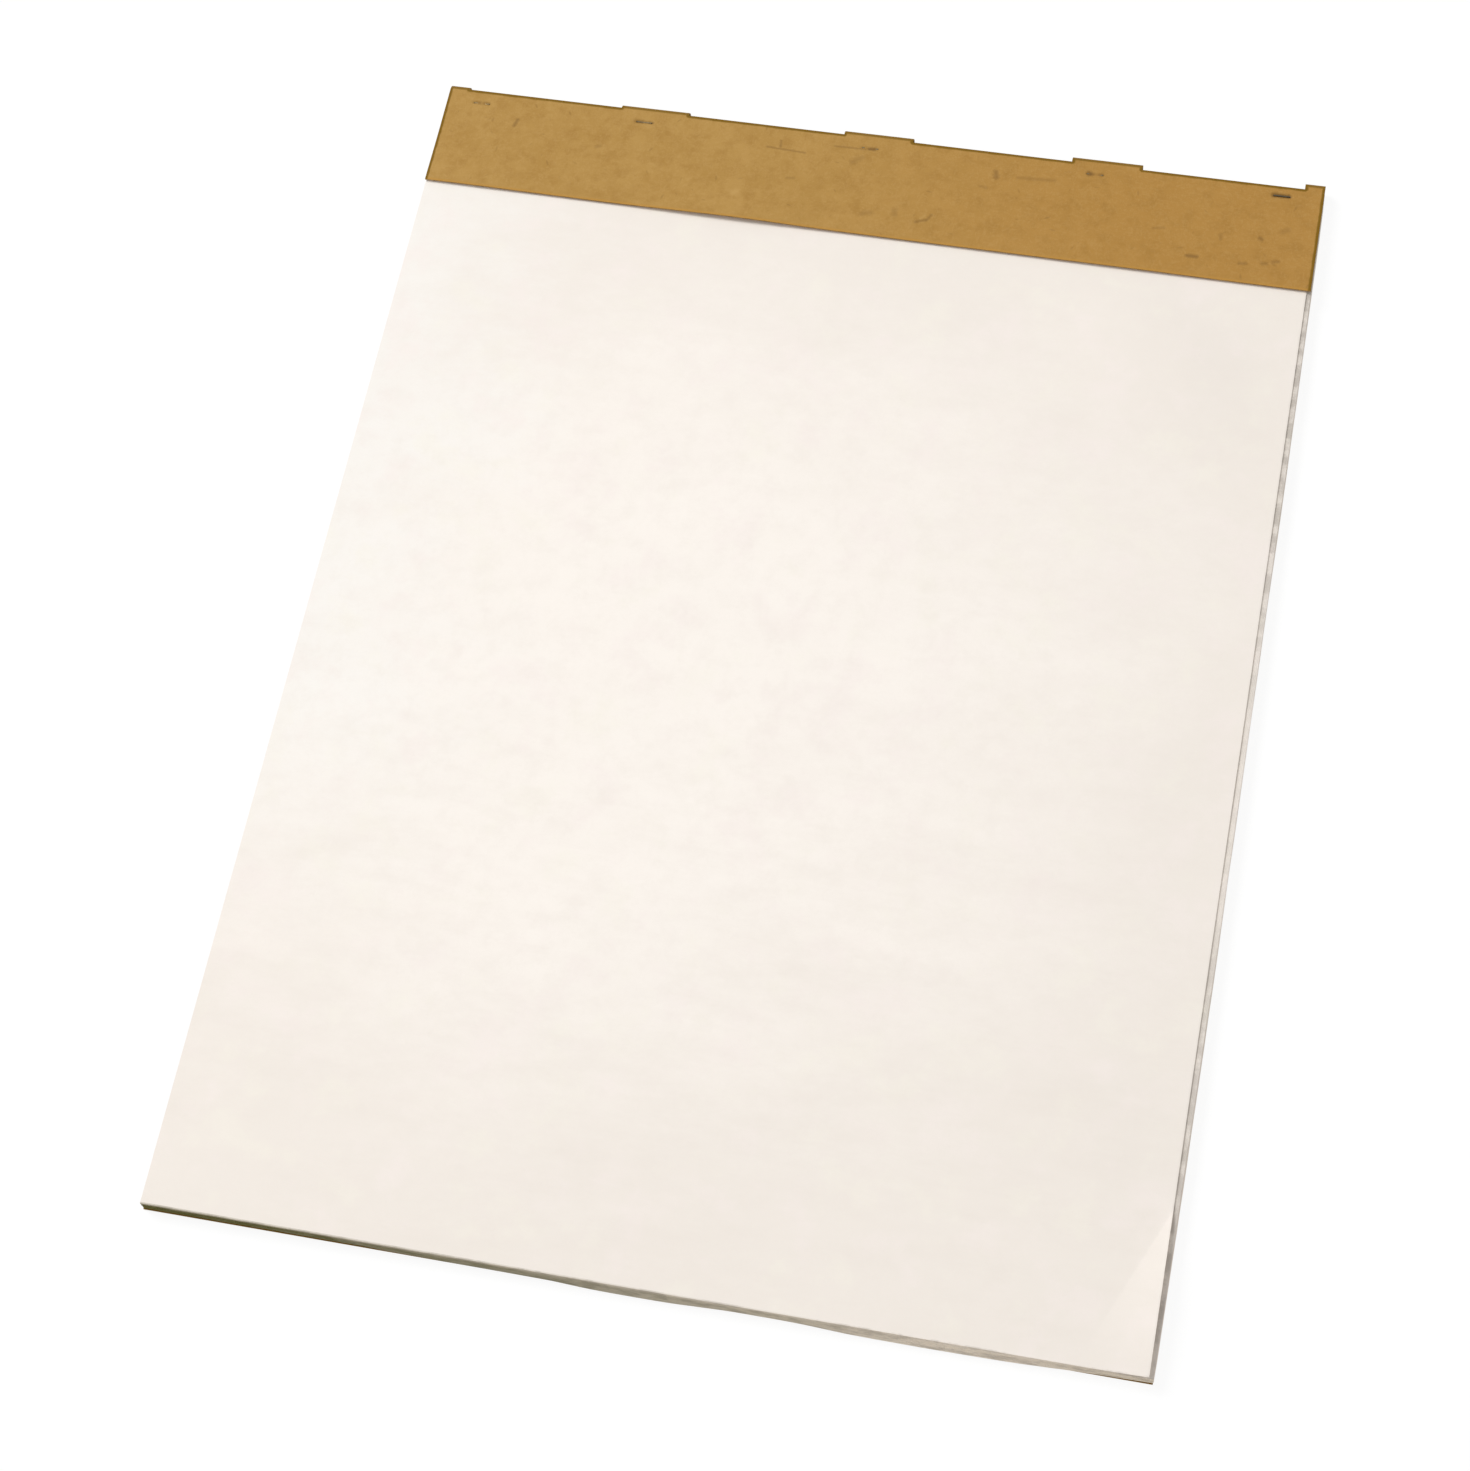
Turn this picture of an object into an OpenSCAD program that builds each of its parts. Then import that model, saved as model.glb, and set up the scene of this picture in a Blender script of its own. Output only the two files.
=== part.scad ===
// Flip chart pad: a block of large loose sheets held at the top by one kraft board.
// The board lies behind the sheets, bends round their top ends and comes down in front as a header flap.
// Windows are punched along the bend, so only short straps of board go round it.
// Staples go through flap, sheets and back. The pad lies flat on its back, with the header towards +Y.

/* [Pad] */
// Width of the pad, side to side
pad_w = 686; // [400:1:900]
// Length of the pad, from the front edge to the outside of the bend
pad_l = 927; // [500:1:1200]
// Thickness of the whole block of sheets
stack_t = 11.5; // [6:0.1:20]
// Thickness of the kraft board
board_t = 1.2; // [1:0.05:1.8]
// How far the sheets stay inside the board at each side
sheet_side_inset = 0.5; // [0:0.1:3]
// How far the sheets stay inside the board at the front edge
sheet_front_inset = 0.8; // [0:0.1:3]
// Space between the top ends of the sheets and the start of the bend
sheet_end_gap = 2; // [1.6:0.1:5]

/* [Header flap] */
// Length of the flap along its left side, from the start of the bend to its free edge
flap_left = 85.8; // [60:0.1:140]
// Length of the flap along its right side, because it was folded a little askew
flap_right = 91; // [60:0.1:140]

/* [Windows in the bend] */
// Distance from one strap to the next
strap_pitch = 177.4; // [120:0.1:240]
// Width of the strap left between two windows
strap_w = 53.9; // [20:0.1:80]
// Least width of board left at each corner of the bend
corner_min = 10; // [9:0.5:20]
// Where the window edge lies at the left side, measured past the start of the bend
lip_left = 2.1; // [-1:0.1:2.5]
// Where the window edge lies at the right side, short of the start of the bend when negative
lip_right = -1.1; // [-1.5:0.1:2.5]

/* [Staples] */
// Outer width of the staple's crown
crown_w = 12.7; // [10:0.1:16]
// Thickness of the wire, measured through the board
wire_t = 0.7; // [0.4:0.05:0.8]
// Width of the wire, measured along the board
wire_w = 0.9; // [0.5:0.05:1.5]
// Outside radius of each bend in the wire
wire_bend = 0.8; // [0.3:0.05:1]
// Length of each clinched end, measured from the outside of its leg
clinch_l = 4.6; // [2:0.1:4.8]
// How deep the clinched ends sit inside the face of the back
clinch_recess = 0.1; // [0:0.05:0.2]
// Distance from the staples to the start of the bend
staple_back = 9.4; // [6:0.1:30]
// Distance from the left side of the board to the first staple
staple_left = 27.8; // [15:0.1:60]
// Distance from the right side of the board to the last staple
staple_right = 31.4; // [15:0.1:60]
// Clearance round the wire in the board and in the sheets
wire_fit = 0.1; // [0.05:0.01:0.3]

/* [Lifted corner] */
// Where the crease meets the right side, measured up from the front edge
crease_up = 119; // [40:1:200]
// Where the crease meets the front edge, measured in from the right side
crease_in = 50; // [20:1:120]
// How far the corner of the top sheets stands up
corner_lift = 3; // [1:0.1:6]
// Thickness of the few top sheets that share the crease
lift_t = 0.6; // [0.3:0.05:1.2]

/* [Hidden] */
$fn = 96;
kraft = "#b58d53";
paper = "#f4ede3";
steel = "#8c8578";
// Length of a cut that runs clear of what it cuts
past = 1;

// Levels, from the table up
sheet_z = board_t;
flap_z = sheet_z + stack_t;
pad_t = flap_z + board_t;
bend_r = pad_t / 2;

// Lines across the pad
front_y = -pad_l / 2;
bend_y = pad_l / 2 - bend_r;
staple_y = bend_y - staple_back;
left_x = -pad_w / 2;
right_x = pad_w / 2;

// Windows and straps along the bend
window_w = strap_pitch - strap_w;
windows = floor((pad_w - 2 * corner_min + strap_w) / strap_pitch);
straps = windows - 1;
first_window_x = -(windows * strap_pitch - strap_w) / 2;
function window_x(i) = first_window_x + i * strap_pitch;
function strap_x(i) = window_x(i) + window_w + strap_w / 2;
function across(x, at_left, at_right) = at_left + (at_right - at_left) * (x - left_x) / pad_w;
function lip(x) = across(x, lip_left, lip_right);
function flap_edge(x) = bend_y - across(x, flap_left, flap_right);

// Staples: one near the middle of each strap, each a little off by hand, and one near each corner
staple_drift = [-6.5, -4.8, -7.9];
staple_x = concat(
    [left_x + staple_left],
    [for (i = [0:straps - 1]) strap_x(i) + staple_drift[i % len(staple_drift)]],
    [right_x - staple_right]
);
clinch_z = clinch_recess + wire_t;
crown_z = pad_t - wire_t;

// Block of sheets
block_w = pad_w - 2 * sheet_side_inset;
block_front = front_y + sheet_front_inset;
block_l = bend_y - sheet_end_gap - block_front;
block_right = block_w / 2;

// Lifted corner, seen along its crease
crease_l = norm([crease_in, crease_up]);
crease_turn = atan2(crease_up, crease_in);
corner_along = crease_in * crease_in / crease_l;
corner_reach = crease_in * crease_up / crease_l;
corner_tilt = asin(corner_lift / corner_reach);

// Board

// The whole board in section: back and front, joined by the half-round bend
module board_section() {
    difference() {
        union() {
            translate([front_y, 0])
                square([bend_y - front_y, pad_t]);
            translate([bend_y, bend_r])
                circle(bend_r);
        }
        translate([front_y - past, board_t])
            square([bend_y - front_y + past, stack_t]);
        translate([bend_y, bend_r])
            circle(bend_r - board_t);
    }
}

module folded_board() {
    translate([left_x, 0, 0])
        rotate([90, 0, 90])
            linear_extrude(pad_w)
                board_section();
}

// All of the front that lies below the free edge of the header flap
module below_flap() {
    translate([0, 0, bend_r])
        linear_extrude(pad_t)
            polygon([
                [left_x - past, front_y - past],
                [right_x + past, front_y - past],
                [right_x + past, flap_edge(right_x + past)],
                [left_x - past, flap_edge(left_x - past)]
            ]);
}

module window(i) {
    x0 = window_x(i);
    x1 = x0 + window_w;
    y1 = bend_y + bend_r + past;
    translate([0, 0, -past])
        linear_extrude(pad_t + 2 * past)
            polygon([
                [x0, bend_y + lip(x0)],
                [x1, bend_y + lip(x1)],
                [x1, y1],
                [x0, y1]
            ]);
}

// Room for one staple: a leg hole at each side, a bed for the crown and a bed for the clinched ends
module staple_room() {
    room_w = wire_w + 2 * wire_fit;
    leg_room = wire_t + 2 * wire_fit;
    crown_room = crown_w + 2 * wire_fit;
    clinch_room = clinch_l + 2 * wire_fit;
    for (side = [0, 1])
        mirror([side, 0, 0])
            translate([-crown_w / 2 - wire_fit, -room_w / 2, -past]) {
                cube([leg_room, room_w, pad_t + 2 * past]);
                cube([clinch_room, room_w, clinch_z + past]);
            }
    translate([-crown_room / 2, -room_w / 2, crown_z])
        cube([crown_room, room_w, wire_t + past]);
}

module wrap_board() {
    color(kraft)
        difference() {
            folded_board();
            below_flap();
            for (i = [0:windows - 1])
                window(i);
            for (x = staple_x)
                translate([x, staple_y, 0])
                    staple_room();
        }
}

// Sheets

module corner_room() {
    translate([0, 0, flap_z - lift_t])
        linear_extrude(lift_t + past)
            polygon([
                [block_right - crease_in, block_front],
                [block_right - crease_in, block_front - past],
                [block_right + past, block_front - past],
                [block_right + past, block_front + crease_up],
                [block_right, block_front + crease_up]
            ]);
}

module lifted_corner() {
    translate([block_right - crease_in, block_front, flap_z - lift_t])
        rotate([0, 0, crease_turn])
            rotate([-corner_tilt, 0, 0])
                linear_extrude(lift_t)
                    polygon([[0, 0], [corner_along, -corner_reach], [crease_l, 0]]);
}

module sheet_block() {
    color(paper)
        difference() {
            union() {
                difference() {
                    translate([-block_right, block_front, sheet_z])
                        cube([block_w, block_l, stack_t]);
                    corner_room();
                }
                lifted_corner();
            }
            for (x = staple_x)
                translate([x, staple_y, 0])
                    staple_room();
        }
}

// Staples

module rounded_frame(w, h, r) {
    translate([-w / 2 + r, 0])
        square([w - 2 * r, h]);
    translate([-w / 2, r])
        square([w, h - 2 * r]);
    for (x = [-w / 2 + r, w / 2 - r], y = [r, h - r])
        translate([x, y])
            circle(r, $fn = 32);
}

module staple() {
    rotate([90, 0, 0])
        linear_extrude(wire_w, center = true)
            difference() {
                translate([0, clinch_recess])
                    rounded_frame(crown_w, pad_t - clinch_recess, wire_bend);
                translate([-crown_w / 2 + wire_t, clinch_z])
                    square([crown_w - 2 * wire_t, crown_z - clinch_z]);
                translate([-crown_w / 2 + clinch_l, 0])
                    square([crown_w - 2 * clinch_l, clinch_z + past]);
            }
}

module staples() {
    color(steel)
        for (x = staple_x)
            translate([x, staple_y, 0])
                staple();
}

wrap_board();
sheet_block();
staples();
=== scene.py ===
import math

import bmesh
import bpy
from mathutils import Matrix, Vector


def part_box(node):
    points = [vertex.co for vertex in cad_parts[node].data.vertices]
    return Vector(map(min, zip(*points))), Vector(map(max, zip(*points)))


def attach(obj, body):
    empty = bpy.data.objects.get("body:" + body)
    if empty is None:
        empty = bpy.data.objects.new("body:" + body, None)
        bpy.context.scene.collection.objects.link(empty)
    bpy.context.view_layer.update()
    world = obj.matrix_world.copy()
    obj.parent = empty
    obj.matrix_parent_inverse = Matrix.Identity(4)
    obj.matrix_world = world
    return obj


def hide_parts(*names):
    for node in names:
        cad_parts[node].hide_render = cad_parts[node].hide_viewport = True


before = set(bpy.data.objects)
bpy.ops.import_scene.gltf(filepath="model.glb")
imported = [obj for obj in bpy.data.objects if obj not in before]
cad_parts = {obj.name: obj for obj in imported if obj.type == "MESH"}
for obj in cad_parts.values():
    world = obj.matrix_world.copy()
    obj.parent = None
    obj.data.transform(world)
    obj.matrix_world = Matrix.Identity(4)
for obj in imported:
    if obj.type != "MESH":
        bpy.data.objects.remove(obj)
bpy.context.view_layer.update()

# Kraft board, cut flat
# One sheet of solid kraft board binds the pad. It is die cut while it is flat, with four windows across
# the line of its fold and small holes for the legs of the staples, and it is folded after that.

mm = 0.001
board_low, board_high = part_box("wrap_board")
board_w = board_high.x - board_low.x
board_t = 1.2 * mm
pad_t = board_high.z
fold_r = pad_t / 2 - board_t
fold_y = board_high.y - pad_t / 2
fold_start = fold_y - board_low.y
fold_end = fold_start + math.pi * fold_r

flap_left = 85.8 * mm
flap_right = 91 * mm
strap_w = 53.9 * mm
window_w = 123.5 * mm
window_lip_left = 2.1 * mm
window_lip_right = -1.1 * mm
window_count = 4
first_window = (strap_w - window_count * (strap_w + window_w)) / 2
windows = [first_window + i * (strap_w + window_w) for i in range(window_count)]

staple_back = 9.4 * mm
crown_w = 12.7 * mm
wire_w = 0.9 * mm
wire_t = 0.7 * mm
clinch_l = 4.6 * mm
leg_hole_w = wire_t + 0.2 * mm
leg_hole_l = wire_w + 0.2 * mm
edge_reach = 9 * mm
crown_press = [0.46 * mm, 0.60 * mm, 0.36 * mm, 0.40 * mm, 0.80 * mm]


def across(x, at_left, at_right):
    """A size that changes evenly from the left side of the board to its right side."""
    return at_left + (at_right - at_left) * (x - board_low.x) / board_w


def along_fold(lip):
    """The length of board that lies under a window's lip, measured along the inside of the fold."""
    return fold_r * math.asin(lip / fold_r) if lip > 0 else lip


def staple_places():
    """Middle of each staple from left to right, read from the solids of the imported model."""
    xs = sorted(v.co.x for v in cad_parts["staples"].data.vertices)
    starts = [0] + [i for i in range(1, len(xs)) if xs[i] - xs[i - 1] > crown_w] + [len(xs)]
    return [(xs[a] + xs[b - 1]) / 2 for a, b in zip(starts, starts[1:])]


staples_x = staple_places()
window_near = (fold_start + along_fold(window_lip_left), fold_start + along_fold(window_lip_right))
window_far = (fold_end - along_fold(window_lip_left), fold_end - along_fold(window_lip_right))
flap_edge = (fold_end + flap_left, fold_end + flap_right)
staple_rows = (fold_start - staple_back, fold_end + staple_back)


def shifted(row, by):
    """A row of the blank, moved along the board."""
    return (row[0] + by, row[1] + by)


def spread(first, last, count):
    """Rows at even steps from the first to the last, both included."""
    shares = [i / (count - 1) for i in range(count)]
    return [tuple(a + (b - a) * share for a, b in zip(first, last)) for share in shares]


def blank_rows():
    """Rows of the blank from its front edge to the flap's free edge, each at its left and right end."""
    back_rows, bend_rows, flap_rows = 36, 15, 17
    close = [0.8 * mm, 2 * mm]
    near_staple = [0.55 * mm, 1.1 * mm, 1.7 * mm, 2.4 * mm, 3.3 * mm, 4.4 * mm]
    rows = [(s, s) for s in [0] + close]
    rows += spread((20 * mm,) * 2, (fold_start - 25 * mm,) * 2, back_rows)
    rows += [(staple_rows[0] + side * s,) * 2 for side in (-1, 1) for s in near_staple]
    rows += [shifted(window_near, -s) for s in close]
    rows += spread(window_near, window_far, bend_rows)
    rows += [shifted(window_far, s) for s in close]
    rows += [(staple_rows[1] + side * s,) * 2 for side in (-1, 1) for s in near_staple]
    rows += spread((fold_end + 17 * mm,) * 2, shifted(flap_edge, -5 * mm), flap_rows)
    rows += [shifted(flap_edge, -s) for s in close + [0]]
    return sorted(rows)


def blank_columns():
    """Columns of the blank, close together at its cut edges and at the staples."""
    beside_edge = [-2 * mm, -0.8 * mm, 0, 0.8 * mm, 2 * mm]
    leg = crown_w / 2 - wire_t / 2
    half = leg_hole_w / 2
    beside_staple = [1.5 * mm, 3 * mm, 4.5 * mm, leg - half, leg + half]
    beside_staple += [leg + s for s in (1.1 * mm, 1.8 * mm, 2.7 * mm, 4 * mm)]
    edges = [board_low.x, board_high.x] + windows + [x + window_w for x in windows]
    fine = [x + s for x in edges for s in beside_edge]
    fine += [x + side * s for x in staples_x for side in (-1, 1) for s in beside_staple] + staples_x
    fine = [x for x in fine if board_low.x <= x <= board_high.x]
    steps = 114
    plain = [board_low.x + board_w * i / steps for i in range(steps + 1)]
    return sorted(fine + [x for x in plain if min(abs(x - f) for f in fine) > 2.6 * mm])


def in_leg_hole(x, s):
    """Whether a place on the blank lies in a hole for a staple's leg."""
    leg = crown_w / 2 - wire_t / 2
    beside = min(abs(abs(x - place) - leg) for place in staples_x)
    return beside < leg_hole_w / 2 and min(abs(s - row) for row in staple_rows) < leg_hole_l / 2


def past_window(x, s):
    """How far a place on the blank lies from the nearest window; zero or less inside one."""
    near = across(x, *window_near)
    far = across(x, *window_far)
    beside = min(max(x0 - x, x - x0 - window_w) for x0 in windows)
    beyond = max(near - s, s - far)
    return max(beside, beyond) if min(beside, beyond) < 0 else math.hypot(beside, beyond)


def eased(value, low, high):
    """A smooth step from 0 to 1."""
    t = min(max((value - low) / (high - low), 0), 1)
    return t * t * (3 - 2 * t)


def pressed(x, s):
    """How deep the staples press the outer face of the board in at a place on the blank."""
    deepest = 0
    for place, depth in zip(staples_x, crown_press):
        beside = abs(x - place)
        crown = math.hypot(max(beside - crown_w / 2, 0), s - staple_rows[1])
        deepest = max(deepest, depth * (1 - eased(crown, 0.5 * mm, 2.6 * mm)))
        bed = max(beside - crown_w / 2, crown_w / 2 - clinch_l - beside, 0)
        clinch = math.hypot(bed, s - staple_rows[0])
        deepest = max(deepest, (wire_t + 0.1 * mm) * (1 - eased(clinch, 0.55 * mm, 1.5 * mm)))
    return deepest


def marked(mesh, name, values):
    """Writes a value for each point of a mesh."""
    mesh.attributes.new(name, "FLOAT", "POINT").data.foreach_set("value", values)


def cut_blank():
    """The flat board with its windows and holes. x runs across it and y along it, and it faces down."""
    columns = blank_columns()
    rows = blank_rows()
    places = [[(x, across(x, *row)) for row in rows] for x in columns]
    index = {}
    faces = []
    for i in range(len(columns) - 1):
        for j in range(len(rows) - 1):
            corners = [(i, j), (i, j + 1), (i + 1, j + 1), (i + 1, j)]
            x = sum(places[a][b][0] for a, b in corners) / 4
            s = sum(places[a][b][1] for a, b in corners) / 4
            if past_window(x, s) < 0 or in_leg_hole(x, s):
                continue
            faces.append([index.setdefault(corner, len(index)) for corner in corners])
    flat = [places[a][b] for a, b in index]
    sides = [(x - board_low.x, board_high.x - x, s, past_window(x, s)) for x, s in flat]
    mesh = bpy.data.meshes.new("kraft_blank")
    mesh.from_pydata([(x, s, 0) for x, s in flat], [], faces)
    marked(mesh, "to_edge", [min(*side, edge_reach) for side in sides])
    marked(mesh, "to_free_edge", [min(across(x, *flap_edge) - s, edge_reach) for x, s in flat])
    marked(mesh, "press", [pressed(x, s) for x, s in flat])
    return mesh


# Kraft board, folded
# The blank is bent round the ends of the sheets in one half turn, and its second half lies flat in front
# as the header flap. Recycled fibres colour it unevenly, and its cut edges show the plies it is made of.

lift_place = -98 * mm
lift_spread = 52 * mm
lift_height = 1.9 * mm
kraft_middle = (181, 141, 74)
kraft_light = (197, 158, 94)
kraft_dark = (160, 118, 53)
kraft_warm = (178, 131, 62)
kraft_torn_and_shade = (120, 88, 0)
kraft_edge_highlight = (190, 140, 62)
kraft_fleck_and_shade = (116, 84, 40)
ply_light = (176, 142, 90)
ply_dark = (120, 90, 46)

# Marks rubbed into the flap: place across, distance from the fold, length, turn, width and darkness,
# in millimetres and degrees. A mark with less than no darkness is a pale scuff.
rub_marks = [
    (-284, 23.6, 6, 76, 2.8, 0.5),
    (-215, 36.9, 3, 25, 3.2, 0.25),
    (-101, 64.6, 4, 40, 5.5, -0.5),
    (-74, 14.8, 6, -84, 1.8, 0.4),
    (-69, 19.7, 30, -3, 1.8, 0.4),
    (-61, 45, 5, 8, 2.6, 0.25),
    (-20, 11.1, 24, 0, 1.8, 0.35),
    (-13, 21.5, 8, 37, 5.0, 0.25),
    (3, 68.8, 6, 15, 4.6, 0.25),
    (24, 65, 4, -80, 5.0, 0.25),
    (45, 70.1, 7, -158, 2.8, 0.42),
    (51, 66.0, 6, -116, 2.4, 0.38),
    (46, 66.5, 4, -135, 2.4, -0.4),
    (87, 32.6, 5, -11, 2.6, 0.25),
    (95, 20.1, 5, -81, 4.2, 0.48),
    (126, 20.1, 28, 3, 3.2, 0.25),
    (224, 50.9, 8, 8, 2.6, 0.25),
    (252, 72.8, 7, 1, 3.0, 0.6),
    (271, 52.4, 4, -82, 3.2, 0.3),
    (290, 73.9, 5, 8, 3.0, 0.38),
    (301, 49.9, 2, -43, 3.4, 0.5),
    (306, 71.7, 3, 8, 3.0, 0.34),
    (314, 68.9, 4, 13, 3.0, 0.38),
    (318, 40.2, 4, 30, 5.0, 0.25),
]

# Painted shade in the dents and round the leg holes of the staples, in the same way
staple_shade_marks = [
    (-318.5, 9, 3, 0, 2.4, 0.4),
    (-311, 9, 3, 0, 2.4, 0.4),
    (-187, 9.6, 4, 2, 2.6, 0.6),
    (-179.5, 9.4, 6, 3, 1.8, 0.4),
    (-3, 10, 4, 2, 2.8, 0.75),
    (165.5, 9.5, 1, 0, 4.2, 0.8),
    (174, 9.4, 1, 0, 3.0, 0.4),
    (311.4, 9.4, 10, 0, 4.4, 0.6),
]


def joined(tree, value, socket):
    """Links an output to a socket, or writes a plain value there."""
    if isinstance(value, bpy.types.NodeSocket):
        tree.links.new(value, socket)
    else:
        socket.default_value = value


def add(tree, kind, inputs=None, **settings):
    """Adds a node, sets it up and joins what each of its sockets takes."""
    node = tree.nodes.new(kind)
    for name, value in settings.items():
        setattr(node, name, value)
    for key, value in (inputs or {}).items():
        joined(tree, value, node.inputs[key])
    return node


def calc(tree, operation, *values):
    """One step of arithmetic in a tree."""
    return add(tree, "ShaderNodeMath", dict(enumerate(values)), operation=operation).outputs[0]


def times(tree, one, other):
    """One value multiplied by another."""
    return calc(tree, "MULTIPLY", one, other)


def minus(tree, one, other):
    """One value less another."""
    return calc(tree, "SUBTRACT", one, other)


def fade(tree, value, low, high, at_low=0.0, at_high=1.0, kind="SMOOTHSTEP"):
    """A smooth step from at_low to at_high, while value goes from low to high."""
    ends = {"Value": value, "From Min": low, "From Max": high, "To Min": at_low, "To Max": at_high}
    return add(tree, "ShaderNodeMapRange", ends, interpolation_type=kind).outputs[0]


def ramp(tree, value, low, high, at_low=0.0, at_high=1.0):
    """An even step from at_low to at_high, while value goes from low to high."""
    return fade(tree, value, low, high, at_low, at_high, "LINEAR")


def vector(tree, x, y, z):
    """Three values as one vector."""
    return add(tree, "ShaderNodeCombineXYZ", {0: x, 1: y, 2: z}).outputs[0]


def apart(tree, value):
    """The three values of a vector."""
    return add(tree, "ShaderNodeSeparateXYZ", {0: value}).outputs


def measured_from(tree, value, start):
    """A place, measured from another place."""
    return add(tree, "ShaderNodeVectorMath", {0: value, 1: start}, operation="SUBTRACT").outputs[0]


def scaled(tree, value, x, y, z):
    """A vector stretched by its own factor along each axis."""
    return add(tree, "ShaderNodeVectorMath", {0: value, 1: (x, y, z)}, operation="MULTIPLY").outputs[0]


def noise(tree, place, scale, detail=3.0, roughness=0.55, distortion=0.0):
    """Smooth noise from 0 to 1 at a place."""
    inputs = {"Vector": place, "Scale": scale, "Detail": detail, "Roughness": roughness}
    inputs["Distortion"] = distortion
    return add(tree, "ShaderNodeTexNoise", inputs).outputs[0]


def group_tree(kind, name, takes, gives):
    """A node group with named inputs and outputs, and the sockets that bring its inputs in."""
    tree = bpy.data.node_groups.new(name, kind)
    for label, value in takes.items():
        tree.interface.new_socket(label, in_out="INPUT", socket_type="NodeSocket" + value)
    for label, value in gives.items():
        tree.interface.new_socket(label, in_out="OUTPUT", socket_type="NodeSocket" + value)
    return tree, tree.nodes.new("NodeGroupInput").outputs


def floats(*labels):
    """Labels of a group's sockets that carry plain values."""
    return dict.fromkeys(labels, "Float")


def tint(red, green, blue):
    """A colour as a shader takes it, from the 0 to 255 values of a picture."""
    shares = [c / 255 for c in (red, green, blue)]
    linear = [s / 12.92 if s <= 0.04045 else ((s + 0.055) / 1.055) ** 2.4 for s in shares]
    return (*linear, 1.0)


def coloured(tree, share, under, over):
    """One colour laid over another by a share from 0 to 1. A plain colour is given as in a picture."""
    under, over = (tint(*tone) if isinstance(tone, tuple) else tone for tone in (under, over))
    return add(tree, "ShaderNodeMix", {0: share, 6: under, 7: over}, data_type="RGBA").outputs[2]


def finish_of(name):
    """A new material: its tree and its main shader."""
    material = bpy.data.materials.new(name)
    material.use_nodes = True
    return material, material.node_tree, material.node_tree.nodes["Principled BSDF"]


def stored(tree, name, part="Fac"):
    """Reads an attribute of the mesh in a material."""
    return add(tree, "ShaderNodeAttribute", attribute_name=name).outputs[part]


def raised(tree, shader, height, distance, strength):
    """Gives a material its fine relief."""
    relief = {"Height": height, "Distance": distance, "Strength": strength}
    joined(tree, add(tree, "ShaderNodeBump", relief).outputs[0], shader.inputs["Normal"])


def fibre_stock_group():
    """A shader group for pressed fibres: soft clouds, matted fibres, stray flecks and their relief."""
    takes = {"Vector": "Vector", **floats("Cloud Scale", "Fibre Scale", "Fleck Scale")}
    gives = floats("Clouds", "Fibres", "Flecks", "Height")
    tree, get = group_tree("ShaderNodeTree", "fibre_stock", takes, gives)
    clouds = noise(tree, get["Vector"], get["Cloud Scale"], 5, 0.68)
    long_fibres = noise(tree, scaled(tree, get["Vector"], 0.5, 1, 1), get["Fibre Scale"], 4, 0.6, 1.8)
    cross_fibres = noise(tree, scaled(tree, get["Vector"], 1, 0.45, 1), get["Fibre Scale"], 3, 0.6, 2.4)
    fibres = calc(tree, "MULTIPLY_ADD", calc(tree, "ADD", long_fibres, cross_fibres), 1.5, -1.0)
    cells = {"Vector": get["Vector"], "Scale": get["Fleck Scale"], "Randomness": 1.0}
    cell = add(tree, "ShaderNodeTexVoronoi", cells).outputs["Position"]
    own = add(tree, "ShaderNodeTexWhiteNoise", {0: cell})
    own_turn, own_size, own_share = apart(tree, own.outputs["Color"])
    offset = measured_from(tree, get["Vector"], cell)
    turned = {"Vector": offset, "Angle": times(tree, own_turn, math.pi)}
    turned = add(tree, "ShaderNodeVectorRotate", turned, rotation_type="Z_AXIS").outputs[0]
    drawn = scaled(tree, turned, 0.32, 1, 0.5)
    far = add(tree, "ShaderNodeVectorMath", {0: drawn}, operation="LENGTH").outputs["Value"]
    far = times(tree, far, get["Fleck Scale"])
    reach = fade(tree, own_size, 0, 1, 0.03, 0.13)
    flecks = fade(tree, calc(tree, "DIVIDE", far, reach), 1.2, 0.3)
    flecks = times(tree, flecks, fade(tree, own_share, 0.55, 1))
    height = calc(tree, "MULTIPLY_ADD", clouds, 0.4, times(tree, fibres, 0.6))
    add(tree, "NodeGroupOutput", {0: clouds, 1: fibres, 2: flecks, 3: height})
    return tree


def rub_mark_group():
    """A shader group for one short rubbed line, with ragged sides."""
    takes = {"Vector": "Vector", "Place": "Vector", **floats("Turn", "Length", "Width")}
    tree, get = group_tree("ShaderNodeTree", "rub_mark", takes, floats("Mask"))
    turned = {"Vector": measured_from(tree, get["Vector"], get["Place"]), "Angle": get["Turn"]}
    turned = add(tree, "ShaderNodeVectorRotate", turned, rotation_type="Z_AXIS").outputs[0]
    x, y, _ = apart(tree, turned)
    past_end = minus(tree, calc(tree, "ABSOLUTE", x), times(tree, get["Length"], 0.5))
    past_end = calc(tree, "MAXIMUM", past_end, 0.0)
    squares = calc(tree, "MULTIPLY_ADD", y, y, times(tree, past_end, past_end))
    ragged = calc(tree, "MULTIPLY_ADD", noise(tree, get["Vector"], 420, 3), 1.8, 0.1)
    far = calc(tree, "DIVIDE", calc(tree, "SQRT", squares), times(tree, get["Width"], ragged))
    add(tree, "NodeGroupOutput", {0: fade(tree, far, 0.9, 0)})
    return tree


fibre_stock = fibre_stock_group()
rub_mark = rub_mark_group()


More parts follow.
